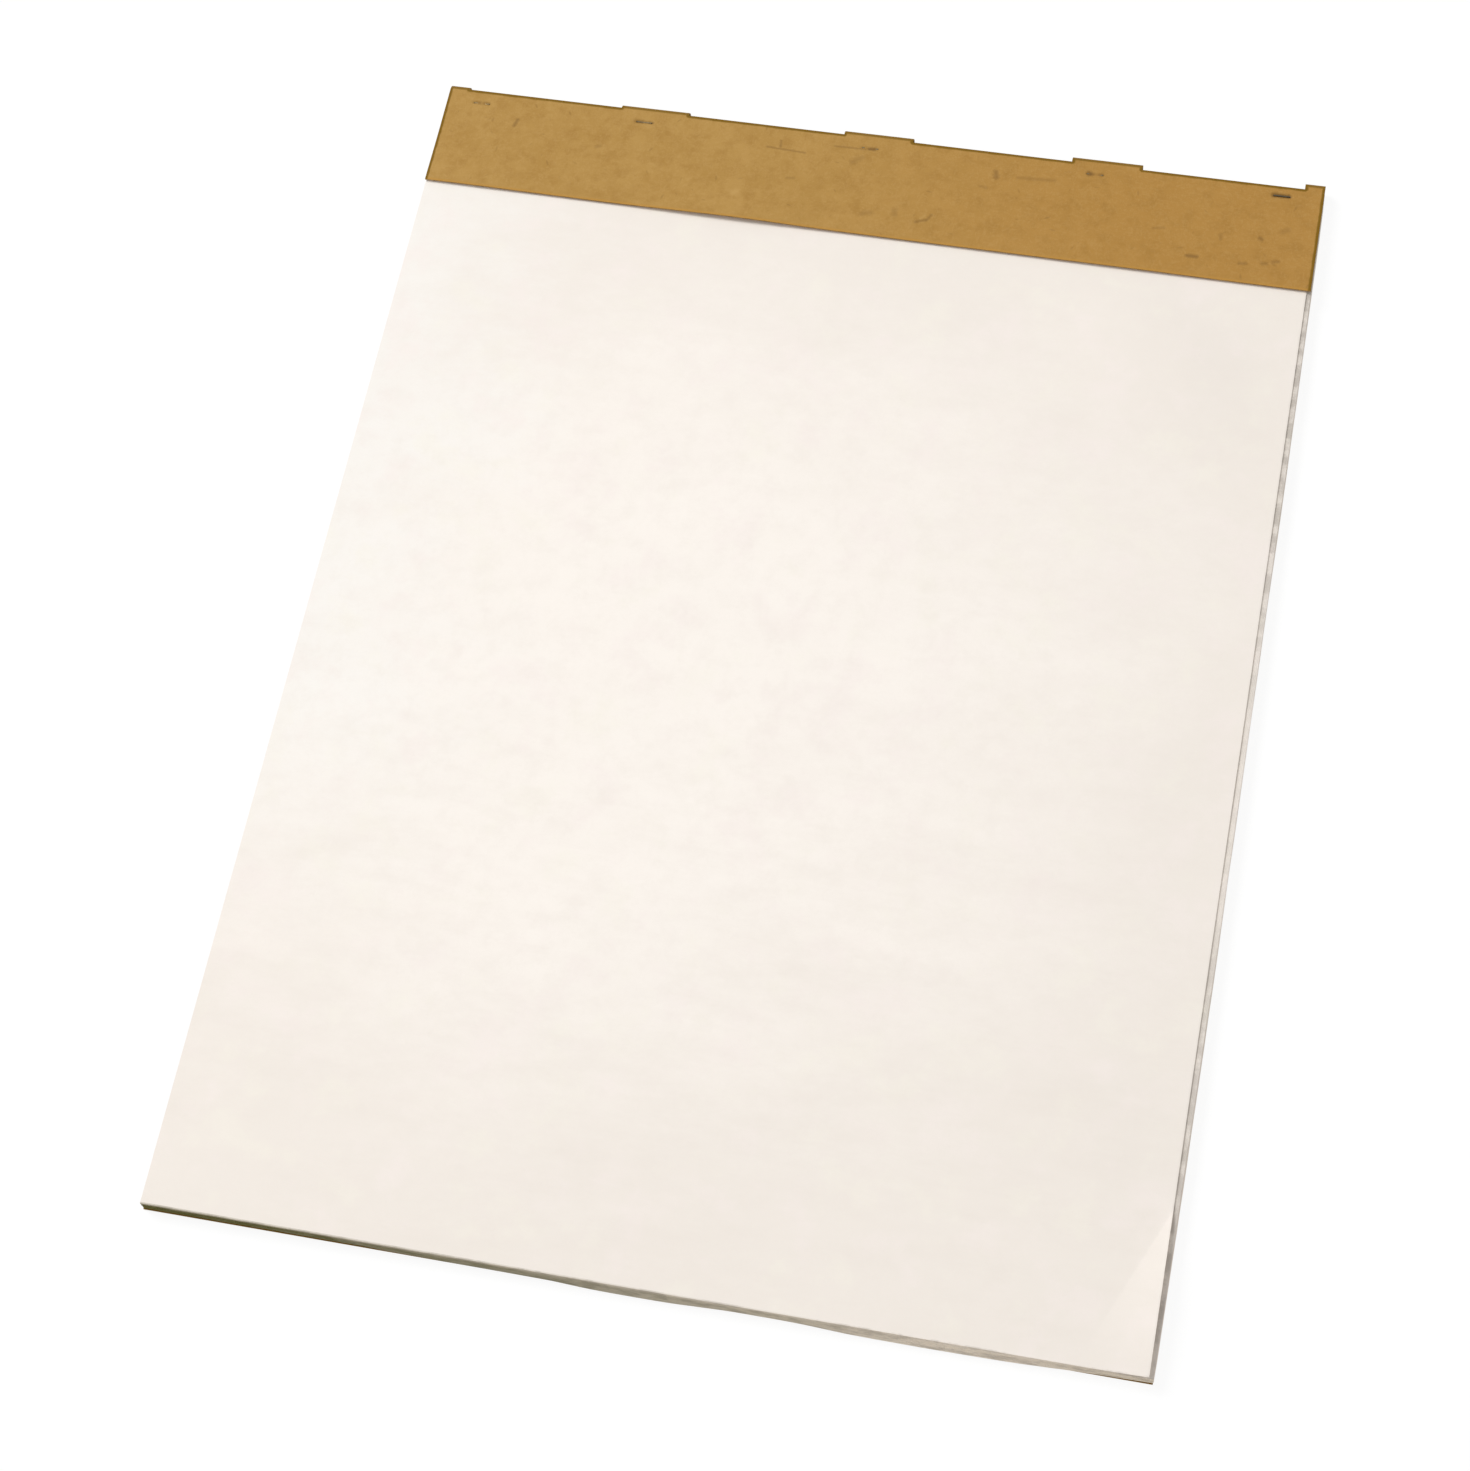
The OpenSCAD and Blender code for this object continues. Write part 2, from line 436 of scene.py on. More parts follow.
def kraft_face():
    """Uncoated kraft: mottled, flecked, rubbed here and there and darker towards its cut edges, with
    painted shade over the fold, in the staple dents and round the staples, and a painted highlight along
    the flap's free edge.
    """
    material, tree, shader = finish_of("kraft_face")
    place = stored(tree, "flat", "Vector")
    sizes = {"Vector": place, "Cloud Scale": 75.0, "Fibre Scale": 300.0, "Fleck Scale": 130.0}
    stock = add(tree, "ShaderNodeGroup", sizes, node_tree=fibre_stock).outputs
    x, s, _ = apart(tree, place)
    patches = noise(tree, place, 34, 5, 0.7)
    colour = coloured(tree, fade(tree, patches, 0.3, 0.7), kraft_dark, kraft_light)
    colour = coloured(tree, 0.74, colour, kraft_middle)
    warmer = calc(tree, "MULTIPLY_ADD", patches, 0.25, x)
    colour = coloured(tree, fade(tree, warmer, 0, 0.35, 0, 0.7), colour, kraft_warm)
    colour = coloured(tree, fade(tree, stock["Clouds"], 0.44, 0.7, 0, 0.44), colour, kraft_dark)
    colour = coloured(tree, fade(tree, stock["Fibres"], 0.4, 0.85, 0, 0.2), colour, kraft_light)
    colour = coloured(tree, times(tree, stock["Flecks"], 0.3), colour, kraft_fleck_and_shade)
    # Painted shade: the kraft is darker where the staples press it in.
    pressed_in = stored(tree, "press")
    colour = coloured(tree, fade(tree, pressed_in, 0, 0.8 * mm, 0, 0.4), colour, kraft_fleck_and_shade)
    # Rubbed marks and scuffs, then the painted shade round the staples.
    for across_x, past_fold, length, turn, width, dark in rub_marks + staple_shade_marks:
        middle = (across_x * mm, fold_end + past_fold * mm, -board_t)
        sizes = {"Vector": place, "Place": middle, "Length": length * mm, "Width": width * mm}
        sizes["Turn"] = math.radians(turn)
        mask = add(tree, "ShaderNodeGroup", sizes, node_tree=rub_mark).outputs[0]
        over = kraft_fleck_and_shade if dark > 0 else kraft_light
        colour = coloured(tree, times(tree, mask, abs(dark)), colour, over)
    # Painted highlight: a lighter orange line along the flap's free edge.
    free_edge = stored(tree, "to_free_edge")
    colour = coloured(tree, fade(tree, free_edge, 2.4 * mm, 0.8 * mm, 0, 0.7), colour, kraft_edge_highlight)
    # Darker towards every cut edge, and painted shade over the bend of the fold, which darkens the top of
    # the header.
    to_edge = stored(tree, "to_edge")
    reach = calc(tree, "MULTIPLY_ADD", stock["Clouds"], 1.6 * mm, 1.2 * mm)
    edge_band = fade(tree, calc(tree, "DIVIDE", to_edge, reach), 1.4, 0.75, 0, 0.92)
    fold_shade = calc(tree, "MULTIPLY_ADD", stock["Clouds"], -0.6 * mm, fold_end)
    fold_shade = fade(tree, minus(tree, fold_shade, s), 0.2 * mm, 1.6 * mm, 0, 0.85)
    fold_shade = times(tree, fold_shade, fade(tree, s, fold_start, fold_start + 3 * mm))
    colour = coloured(tree, calc(tree, "MAXIMUM", edge_band, fold_shade), colour, kraft_torn_and_shade)
    joined(tree, colour, shader.inputs["Base Color"])
    joined(tree, fade(tree, stock["Fibres"], 0, 1, 0.9, 0.74), shader.inputs["Roughness"])
    raised(tree, shader, stock["Height"], 0.12 * mm, 0.6)
    shader.inputs["Specular IOR Level"].default_value = 0.25
    return material


def kraft_cut_edge():
    """The cut edge of the board: thin plies, torn a little by the die."""
    material, tree, shader = finish_of("kraft_cut_edge")
    place = stored(tree, "flat", "Vector")
    plies = noise(tree, scaled(tree, place, 0.035, 0.035, 1), 4200, 2, 0.6)
    torn = noise(tree, place, 900, 3, 0.6)
    colour = coloured(tree, fade(tree, plies, 0.35, 0.65), ply_dark, ply_light)
    colour = coloured(tree, fade(tree, torn, 0.5, 0.8, 0, 0.4), colour, kraft_torn_and_shade)
    joined(tree, colour, shader.inputs["Base Color"])
    joined(tree, fade(tree, torn, 0, 1, 0.95, 0.8), shader.inputs["Roughness"])
    height = calc(tree, "MULTIPLY_ADD", plies, 0.5, torn)
    raised(tree, shader, height, 0.15 * mm, 0.8)
    shader.inputs["Specular IOR Level"].default_value = 0.2
    return material


def form_tree(name, takes):
    """A geometry tree with its named inputs, and the sockets that bring them in."""
    return group_tree("GeometryNodeTree", name, {"Geometry": "Geometry", **takes}, {"Geometry": "Geometry"})


def read(tree, name, kind="FLOAT"):
    """Reads an attribute of the mesh in a geometry tree."""
    return add(tree, "GeometryNodeInputNamedAttribute", {"Name": name}, data_type=kind).outputs["Attribute"]


def kept(tree, geometry, name, value, kind="FLOAT", domain="POINT"):
    """Writes an attribute of the mesh in a geometry tree."""
    takes = {"Geometry": geometry, "Name": name, "Value": value}
    return add(tree, "GeometryNodeStoreNamedAttribute", takes, data_type=kind, domain=domain).outputs[0]


def given_thickness(tree, sheet, x, y, z):
    """Makes a thin sheet a closed one, by an offset from its first face, and marks its cut edges."""
    takes = {"Mesh": sheet, "Offset": vector(tree, x, y, z), "Individual": False}
    grown = add(tree, "GeometryNodeExtrudeMesh", takes).outputs["Mesh"]
    first = add(tree, "GeometryNodeFlipFaces", {"Mesh": sheet}).outputs["Mesh"]
    both = add(tree, "GeometryNodeJoinGeometry")
    tree.links.new(grown, both.inputs[0])
    tree.links.new(first, both.inputs[0])
    merged = {"Geometry": both.outputs[0], "Distance": 1e-6}
    closed = add(tree, "GeometryNodeMergeByDistance", merged).outputs[0]
    facing = apart(tree, add(tree, "GeometryNodeInputNormal").outputs[0])[2]
    beside = calc(tree, "LESS_THAN", calc(tree, "ABSOLUTE", facing), 0.5)
    return kept(tree, closed, "cut_edge", beside, "BOOLEAN", "FACE")


def moved(tree, geometry, x, y, z):
    """Puts each point of a mesh in its new place."""
    takes = {"Geometry": geometry, "Position": vector(tree, x, y, z)}
    return add(tree, "GeometryNodeSetPosition", takes).outputs[0]


def finished(tree, geometry, face, edge):
    """Ends a tree: instances made real, one material on the faces and another on the cut edges."""
    geometry = add(tree, "GeometryNodeRealizeInstances", {"Geometry": geometry}).outputs[0]
    coat = {"Geometry": geometry, "Material": face}
    geometry = add(tree, "GeometryNodeSetMaterial", coat).outputs[0]
    coat = {"Geometry": geometry, "Material": edge, "Selection": read(tree, "cut_edge", "BOOLEAN")}
    geometry = add(tree, "GeometryNodeSetMaterial", coat).outputs[0]
    add(tree, "NodeGroupOutput", {0: geometry})
    return tree


def fold_board():
    """A tree that bends the flat blank round the ends of the sheets."""
    takes = floats("Thickness", "Fold Radius", "Fold Start", "Fold End", "Front", "Flap")
    takes.update(floats("Lift Place", "Lift Spread", "Lift Height"))
    takes.update({"Face": "Material", "Cut Edge": "Material"})
    tree, get = form_tree("fold_board", takes)
    board = given_thickness(tree, get["Geometry"], 0, 0, times(tree, get["Thickness"], -1))
    place = add(tree, "GeometryNodeInputPosition").outputs[0]
    board = kept(tree, board, "flat", place, "FLOAT_VECTOR")
    x, along, below = apart(tree, place)
    kept_share = minus(tree, calc(tree, "DIVIDE", read(tree, "press"), get["Thickness"]), 1)
    radius = calc(tree, "MULTIPLY_ADD", below, kept_share, get["Fold Radius"])
    turn = calc(tree, "DIVIDE", minus(tree, along, get["Fold Start"]), get["Fold Radius"])
    turn = calc(tree, "MINIMUM", calc(tree, "MAXIMUM", turn, 0.0), math.pi)
    before = calc(tree, "ADD", get["Front"], calc(tree, "MINIMUM", along, get["Fold Start"]))
    past = calc(tree, "MAXIMUM", minus(tree, along, get["Fold End"]), 0.0)
    y = calc(tree, "MULTIPLY_ADD", radius, calc(tree, "SINE", turn), minus(tree, before, past))
    middle = calc(tree, "ADD", get["Fold Radius"], get["Thickness"])
    z = minus(tree, middle, times(tree, radius, calc(tree, "COSINE", turn)))
    from_lift = calc(tree, "DIVIDE", minus(tree, x, get["Lift Place"]), get["Lift Spread"])
    rise = calc(tree, "EXPONENT", times(tree, times(tree, from_lift, from_lift), -1))
    wave = fade(tree, noise(tree, vector(tree, x, 0, 0), 8, 1), 0.3, 0.8, 0.8 * mm, 1.4 * mm)
    rise = calc(tree, "MULTIPLY_ADD", rise, get["Lift Height"], wave)
    free = fade(tree, calc(tree, "DIVIDE", past, get["Flap"]), 0.45, 1.05)
    z = calc(tree, "MULTIPLY_ADD", rise, free, z)
    return finished(tree, moved(tree, board, x, y, z), get["Face"], get["Cut Edge"])


def formed(name, blank, tree, sizes, round_edge=0.0):
    """Runs a tree on a blank and leaves a plain piece, with round edges if they are given."""
    piece = bpy.data.objects.new(name, blank)
    bpy.context.scene.collection.objects.link(piece)
    form = piece.modifiers.new("form", "NODES")
    form.node_group = tree
    for socket in tree.interface.items_tree:
        if socket.name in sizes:
            form[socket.identifier] = sizes[socket.name]
    if round_edge:
        bevel = piece.modifiers.new("round_edge", "BEVEL")
        bevel.width = round_edge
        bevel.segments = 2
        bevel.limit_method = "ANGLE"
        bevel.angle_limit = math.radians(50)
    graph = bpy.context.evaluated_depsgraph_get()
    mesh = bpy.data.meshes.new_from_object(
        piece.evaluated_get(graph), preserve_all_data_layers=True, depsgraph=graph
    )
    piece.modifiers.clear()
    piece.data = mesh
    mesh.name = name
    mesh.shade_smooth()
    mesh.set_sharp_from_angle(angle=math.radians(40))
    return piece


board_sizes = {
    "Thickness": board_t,
    "Fold Radius": fold_r,
    "Fold Start": fold_start,
    "Fold End": fold_end,
    "Front": board_low.y,
    "Flap": flap_left,
    "Lift Place": lift_place,
    "Lift Spread": lift_spread,
    "Lift Height": lift_height,
    "Face": kraft_face(),
    "Cut Edge": kraft_cut_edge(),
}
kraft_board = formed("kraft_board", cut_blank(), fold_board(), board_sizes, round_edge=0.12 * mm)
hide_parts("wrap_board")
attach(kraft_board, "root")

# Pile of sheets
# About a hundred sheets of white paper lie on the board, cut together with a guillotine. Handling has
# fanned the lower ones out in two humps along the front, and the top few lie a little in at the right.

block_low, block_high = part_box("sheet_block")
sheet_count = 100
leaf_count = 5
stack_t = pad_t - 2 * board_t
pitch = stack_t / sheet_count
paper_t = 0.1 * mm
front_fan = 2.8 * mm
side_fan = 0.7 * mm
side_step = 2.9 * mm
side_out_most = 0.5 * mm
step_level = 0.93
paper_lit_white = (255, 248, 240)
paper_shaded_grey = (246, 238, 229)
paper_cool = (252, 248, 242)
paper_rosy = (251, 241, 235)
paper_cream = (251, 246, 233)
paper_mottle_and_shade = (236, 227, 217)
edge_light = (254, 242, 222)
edge_dark = (238, 222, 196)
edge_darkened = (117, 111, 63)
edge_shade_grey = (138, 128, 116)

# How far the lower sheets stand out, as a share, along the front from left to right
front_humps = [(0, 0), (0.2, 0.04), (0.27, 0.24), (0.41, 0.45), (0.5, 0.95), (0.56, 0.7), (0.63, 0.36)]
front_humps += [(0.69, 0.7), (0.75, 1), (0.83, 0.96), (0.89, 0.65), (0.95, 0.15), (1, 0)]

# The same at the right side, from the front edge up to the fold
side_humps = [(0, 0.2), (0.12, 0.9), (0.3, 0.8), (0.4, 0.25), (0.6, 0.2), (0.72, 0.85), (0.92, 0.9)]
side_humps += [(1, 0)]

# How dark the cut edges are made along the front, from left to right
front_darkness = [(0, 1), (0.15, 0.9), (0.25, 0.75), (0.38, 0.6), (0.5, 0.42), (0.66, 0.25), (0.8, 0.04)]
front_darkness += [(1, 0.1)]

# How strong the dashes of painted shade are along the right side, from the front edge up to the fold
side_shade_dashes = [(0, 0.8), (0.1, 0.9), (0.2, 0.8), (0.3, 0.55), (0.42, 0.25), (0.55, 0.45), (0.68, 0.9)]
side_shade_dashes += [(0.85, 1), (1, 0.8)]


def curve_through(tree, value, points):
    """A smooth curve through a few points."""
    node = add(tree, "ShaderNodeFloatCurve", {"Value": value})
    curve = node.mapping.curves[0]
    for x, y in points[1:-1]:
        curve.points.new(x, y)
    for spot, (x, y) in zip(curve.points, points):
        spot.location = (x, y)
    node.mapping.update()
    return node.outputs[0]


def cut_sheet(cuts):
    """One flat sheet as a single face, with points along its sides so that they can waver."""
    low = Vector((block_low.x, block_low.y))
    high = Vector((block_high.x, block_high.y))
    corners = [low, Vector((high.x, low.y)), high, Vector((low.x, high.y))]
    sides = zip(corners, corners[1:] + corners[:1])
    outline = [a.lerp(b, i / cuts) for a, b in sides for i in range(cuts)]
    mesh = bpy.data.meshes.new("cut_sheet")
    mesh.from_pydata([(p.x, p.y, 0) for p in outline], [], [range(len(outline))])
    return mesh


def stacked(tree, sheet, count, pitch_socket, first_level):
    """Copies of a sheet one above another. Each keeps its place in the pile, from 0 to 1."""
    start = vector(tree, 0, 0, first_level)
    takes = {"Count": count, "Start Location": start, "Offset": vector(tree, 0, 0, pitch_socket)}
    levels = add(tree, "GeometryNodeMeshLine", takes, mode="OFFSET").outputs[0]
    number = add(tree, "GeometryNodeInputIndex").outputs[0]
    share = calc(tree, "DIVIDE", number, minus(tree, count, 1))
    levels = kept(tree, levels, "in_pile", share)
    copies = add(tree, "GeometryNodeInstanceOnPoints", {"Points": levels, "Instance": sheet}).outputs[0]
    return add(tree, "GeometryNodeRealizeInstances", {"Geometry": copies}).outputs[0]


def lay_sheets():
    """A tree that stacks the sheets and lets their edges stand out unevenly."""
    takes = {"Sheets": "Int", "Face": "Material", "Cut Edge": "Material"}
    takes.update(floats("Pitch", "Paper", "First Level", "Left", "Right", "Front", "Back"))
    takes.update(floats("Front Fan", "Side Fan", "Side Bow", "Side Step", "Side Out", "Ruffle"))
    tree, get = form_tree("lay_sheets", takes)
    sheet = given_thickness(tree, get["Geometry"], 0, 0, get["Paper"])
    pile = stacked(tree, sheet, get["Sheets"], get["Pitch"], get["First Level"])
    x, y, z = apart(tree, add(tree, "GeometryNodeInputPosition").outputs[0])
    in_pile = read(tree, "in_pile")
    deep = minus(tree, 1, in_pile)
    near = 1 * mm
    at_front = calc(tree, "LESS_THAN", y, calc(tree, "ADD", get["Front"], near))
    at_back = calc(tree, "GREATER_THAN", y, minus(tree, get["Back"], near))
    at_left = calc(tree, "LESS_THAN", x, calc(tree, "ADD", get["Left"], near))
    at_right = calc(tree, "GREATER_THAN", x, minus(tree, get["Right"], near))
    along_x = ramp(tree, x, get["Left"], get["Right"])
    along_y = ramp(tree, y, get["Front"], get["Back"])
    own = add(tree, "ShaderNodeTexWhiteNoise", {"W": in_pile}, noise_dimensions="1D").outputs[0]
    waver = noise(tree, vector(tree, x, y, times(tree, in_pile, 0.9)), 11, 3)
    uneven = times(tree, minus(tree, waver, 0.45), 2.6)
    uneven = calc(tree, "MULTIPLY_ADD", minus(tree, own, 0.5), 0.5, uneven)
    uneven = times(tree, uneven, get["Ruffle"])
    flare = calc(tree, "POWER", deep, 1.3)
    front_out = times(tree, curve_through(tree, along_x, front_humps), get["Front Fan"])
    front_out = calc(tree, "MULTIPLY_ADD", front_out, flare, uneven)
    side_out = times(tree, curve_through(tree, along_y, side_humps), get["Side Fan"])
    bulge = calc(tree, "SINE", times(tree, deep, 2.6))
    side_out = calc(tree, "MULTIPLY_ADD", side_out, bulge, uneven)
    bow = calc(tree, "SINE", times(tree, along_y, math.pi))
    bow = calc(tree, "MULTIPLY_ADD", bow, get["Side Bow"], get["Side Out"])
    side_out = calc(tree, "MULTIPLY_ADD", bow, fade(tree, in_pile, 1, step_level), side_out)
    stepped = times(tree, fade(tree, in_pile, step_level, 1), get["Side Step"])
    side_out = minus(tree, side_out, stepped)
    new_y = minus(tree, y, times(tree, at_front, front_out))
    new_y = calc(tree, "MULTIPLY_ADD", at_back, times(tree, uneven, 0.6), new_y)
    new_x = calc(tree, "MULTIPLY_ADD", at_right, side_out, x)
    new_x = minus(tree, new_x, times(tree, at_left, uneven))
    return finished(tree, moved(tree, pile, new_x, new_y, z), get["Face"], get["Cut Edge"])


def edge_shade_and_darkening_group():
    """A shader group for the edges of the pile: darker towards the left along the front, painted shade in
    dashes at the right, and grey dashes along the front.
    """
    gives = floats("Darkening", "Marks", "Blotches")
    tree, get = group_tree("ShaderNodeTree", "edge_shade_and_darkening", {"Vector": "Vector"}, gives)
    x, y, z = apart(tree, get["Vector"])
    top = pad_t - board_t
    blotches = noise(tree, scaled(tree, get["Vector"], 1, 1, 3), 60, 4, 0.65)
    along_x = ramp(tree, x, block_low.x, block_high.x)
    along_y = ramp(tree, y, block_low.y, block_high.y)
    # Darker towards the left along the front, less so on the upper sheets.
    in_front = fade(tree, y, block_low.y + 1.2 * mm, block_low.y + 0.5 * mm)
    darkening = times(tree, curve_through(tree, along_x, front_darkness), in_front)
    darkening = times(tree, darkening, fade(tree, blotches, 0.2, 0.6, 0.85, 1.1))
    darkening = times(tree, darkening, fade(tree, z, top - 4 * mm, top - 0.5 * mm, 1, 0.35))
    # Painted shade: dark dashes on the upper sheets under the step at the right side.
    at_right = fade(tree, x, block_high.x - side_step - 1.2 * mm, block_high.x - side_step)
    shade_dashes = times(tree, curve_through(tree, along_y, side_shade_dashes), at_right)
    shade_dashes = times(tree, shade_dashes, fade(tree, blotches, 0.4, 0.6, 0.15, 0.5))
    shade_dashes = times(tree, shade_dashes, fade(tree, z, top - 2 * mm, top - 1 * mm))
    shade_dashes = times(tree, shade_dashes, fade(tree, z, top - 0.3 * mm, top, 1, 0.2))
    # Faint grey dashes along the front.
    in_front = times(tree, in_front, fade(tree, blotches, 0.46, 0.62, 0, 0.25))
    add(tree, "NodeGroupOutput", {0: darkening, 1: calc(tree, "MAXIMUM", shade_dashes, in_front), 2: blotches})
    return tree


edge_shade_and_darkening = edge_shade_and_darkening_group()


def sheet_face():
    """Uncoated white paper: warm, faintly cloudy and with a fine tooth; painted light makes it brightest a
    little left of the middle and greyer away from there, and painted shade lies in faint streaks across it
    towards the front.
    """
    material, tree, shader = finish_of("sheet_face")
    place = add(tree, "ShaderNodeTexCoord").outputs["Object"]
    sizes = {"Vector": place, "Cloud Scale": 58.0, "Fibre Scale": 420.0, "Fleck Scale": 60.0}
    stock = add(tree, "ShaderNodeGroup", sizes, node_tree=fibre_stock).outputs
    x, y, _ = apart(tree, place)
    # Painted light: brightest a little left of the middle, greyer away from there.
    broad = noise(tree, scaled(tree, place, 0.5, 1, 1), 9, 7, 0.75)
    from_x = times(tree, calc(tree, "ADD", x, 90 * mm), 2.1)
    from_y = times(tree, calc(tree, "ADD", y, 20 * mm), 2.5)
    from_middle = calc(tree, "MULTIPLY_ADD", from_x, from_x, times(tree, from_y, from_y))
    from_middle = calc(tree, "MULTIPLY_ADD", broad, 1.1, calc(tree, "SQRT", from_middle))
    white = fade(tree, from_middle, 1.65, 0.85)
    colour = coloured(tree, white, paper_shaded_grey, paper_lit_white)
    cool = fade(tree, calc(tree, "MULTIPLY_ADD", broad, 0.35, x), 0.02, -0.2, 0, 0.9)
    cool = times(tree, cool, fade(tree, y, -0.3, 0.0))
    colour = coloured(tree, cool, colour, paper_cool)
    tinge = noise(tree, place, 26, 3, 0.6)
    colour = coloured(tree, fade(tree, tinge, 0.5, 0.72, 0, 0.5), colour, paper_rosy)
    colour = coloured(tree, fade(tree, tinge, 0.46, 0.28, 0, 0.35), colour, paper_cream)
    # Painted shade of faint ripples: streaks across the paper towards the front.
    ripple_shade = noise(tree, scaled(tree, place, 0.3, 1, 1), 45, 4, 0.65)
    ripple_shade = fade(tree, ripple_shade, 0.4, 0.75)
    ripple_shade = times(tree, ripple_shade, fade(tree, y, 0.1, -0.25, 0.05, 0.2))
    colour = coloured(tree, ripple_shade, colour, paper_mottle_and_shade)
    mottled = fade(tree, stock["Clouds"], 0.4, 0.75)
    mottled = times(tree, mottled, fade(tree, white, 0, 1, 0.1, 0.2))
    colour = coloured(tree, mottled, colour, paper_mottle_and_shade)
    colour = coloured(tree, fade(tree, stock["Fibres"], 0.4, 0.9, 0, 0.08), colour, paper_mottle_and_shade)
    # Darker towards the left along the front, and painted shade in dashes at the right, as on the cut
    # edges.
    edge_tones = add(tree, "ShaderNodeGroup", {"Vector": place}, node_tree=edge_shade_and_darkening).outputs
    colour = coloured(tree, edge_tones["Marks"], colour, edge_shade_grey)
    colour = coloured(tree, edge_tones["Darkening"], colour, edge_darkened)
    joined(tree, colour, shader.inputs["Base Color"])
    joined(tree, fade(tree, stock["Fibres"], 0, 1, 0.82, 0.7), shader.inputs["Roughness"])
    raised(tree, shader, stock["Height"], 0.03 * mm, 0.35)
    shader.inputs["Specular IOR Level"].default_value = 0.3
    return material


def sheet_cut_edge():
    """Guillotined edges of the sheets, each a little lighter or darker than the next, with painted shade on
    the edges of the upper sheets and in dashes at the right, and darker towards the left along the front.
    """
    material, tree, shader = finish_of("sheet_cut_edge")
    in_pile = stored(tree, "in_pile")
    own = add(tree, "ShaderNodeTexWhiteNoise", {"W": in_pile}, noise_dimensions="1D").outputs[0]
    place = add(tree, "ShaderNodeTexCoord").outputs["Object"]
    edge_tones = add(tree, "ShaderNodeGroup", {"Vector": place}, node_tree=edge_shade_and_darkening).outputs
    colour = coloured(tree, fade(tree, own, 0.2, 1), edge_light, edge_dark)
    # Painted shade on the edges of the upper sheets.
    colour = coloured(tree, fade(tree, in_pile, 0.7, 0.95, 0, 0.2), colour, edge_shade_grey)
    # Painted shade in dashes at the right and grey dashes along the front; then darker towards the left
    # along the front.
    colour = coloured(tree, edge_tones["Marks"], colour, edge_shade_grey)
    colour = coloured(tree, edge_tones["Darkening"], colour, edge_darkened)
    joined(tree, colour, shader.inputs["Base Color"])
    joined(tree, fade(tree, edge_tones["Blotches"], 0, 1, 0.9, 0.75), shader.inputs["Roughness"])
    shader.inputs["Specular IOR Level"].default_value = 0.2
    return material


paper_face = sheet_face()
paper_cut = sheet_cut_edge()
pile_sizes = {
    "Sheets": sheet_count - leaf_count,
    "Pitch": pitch,
    "Paper": paper_t,
    "First Level": board_t,
    "Left": block_low.x,
    "Right": block_high.x,
    "Front": block_low.y,
    "Back": block_high.y,
    "Front Fan": front_fan,
    "Side Fan": side_fan,
    "Ruffle": 0.35 * mm,
    "Side Bow": 1.3 * mm,
    "Side Step": side_step - side_out_most,
    "Side Out": side_out_most,
    "Face": paper_face,
    "Cut Edge": paper_cut,
}
sheet_pile = formed("sheet_pile", cut_sheet(cuts=72), lay_sheets(), pile_sizes)
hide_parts("sheet_block")
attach(sheet_pile, "root")

# Top sheets with a turned-up corner
# The upper five sheets have been folded up together at the front right corner and laid back, so they
# keep a crease there and their corner stands up. They lie in faint waves where nothing holds them down.

crease_up = 119 * mm
crease_in = 50 * mm
slope_at_front = -0.02
slope_at_side = 0.5
crease_half = 0.6 * mm
wave_height = 1.6 * mm
ridge_height = 3.2 * mm
ridge_place = Vector((238 * mm, 313 * mm, 0))
ridge_across = Vector((0.77, 0.64, 0))
leaf_cell = 11 * mm
crease_start = Vector((block_high.x - crease_in, block_low.y, 0))
crease_run = Vector((crease_in, crease_up, 0))
crease_out = Vector((crease_up, -crease_in, 0)).normalized()


def scored_sheet():
    """One flat sheet in small cells, scored along both sides of the crease."""
    right = block_high.x + side_out_most - side_step
    wide = right - block_low.x
    long = block_high.y - block_low.y
    form = bmesh.new()
    cells_x = round(wide / leaf_cell)
    cells_y = round(long / leaf_cell)
    bmesh.ops.create_grid(form, x_segments=cells_x, y_segments=cells_y, size=0.5)
    middle = Vector(((block_low.x + right) / 2, (block_low.y + block_high.y) / 2, 0))
    for vert in form.verts:
        vert.co = Vector((vert.co.x * wide, vert.co.y * long, 0)) + middle
    for side in (-crease_half, crease_half):
        everything = form.verts[:] + form.edges[:] + form.faces[:]
        on_line = crease_start + crease_out * side
        bmesh.ops.bisect_plane(form, geom=everything, dist=1e-6, plane_co=on_line, plane_no=crease_out)
    mesh = bpy.data.meshes.new("scored_sheet")
    form.to_mesh(mesh)
    form.free()
    return mesh


def product(tree, one, other):
    """The dot product of two vectors."""
    node = add(tree, "ShaderNodeVectorMath", {0: one, 1: other}, operation="DOT_PRODUCT")
    return node.outputs["Value"]


def quarter_turned(tree, value):
    """A flat vector, turned by a quarter."""
    x, y, _ = apart(tree, value)
    return vector(tree, times(tree, y, -1), x, 0)


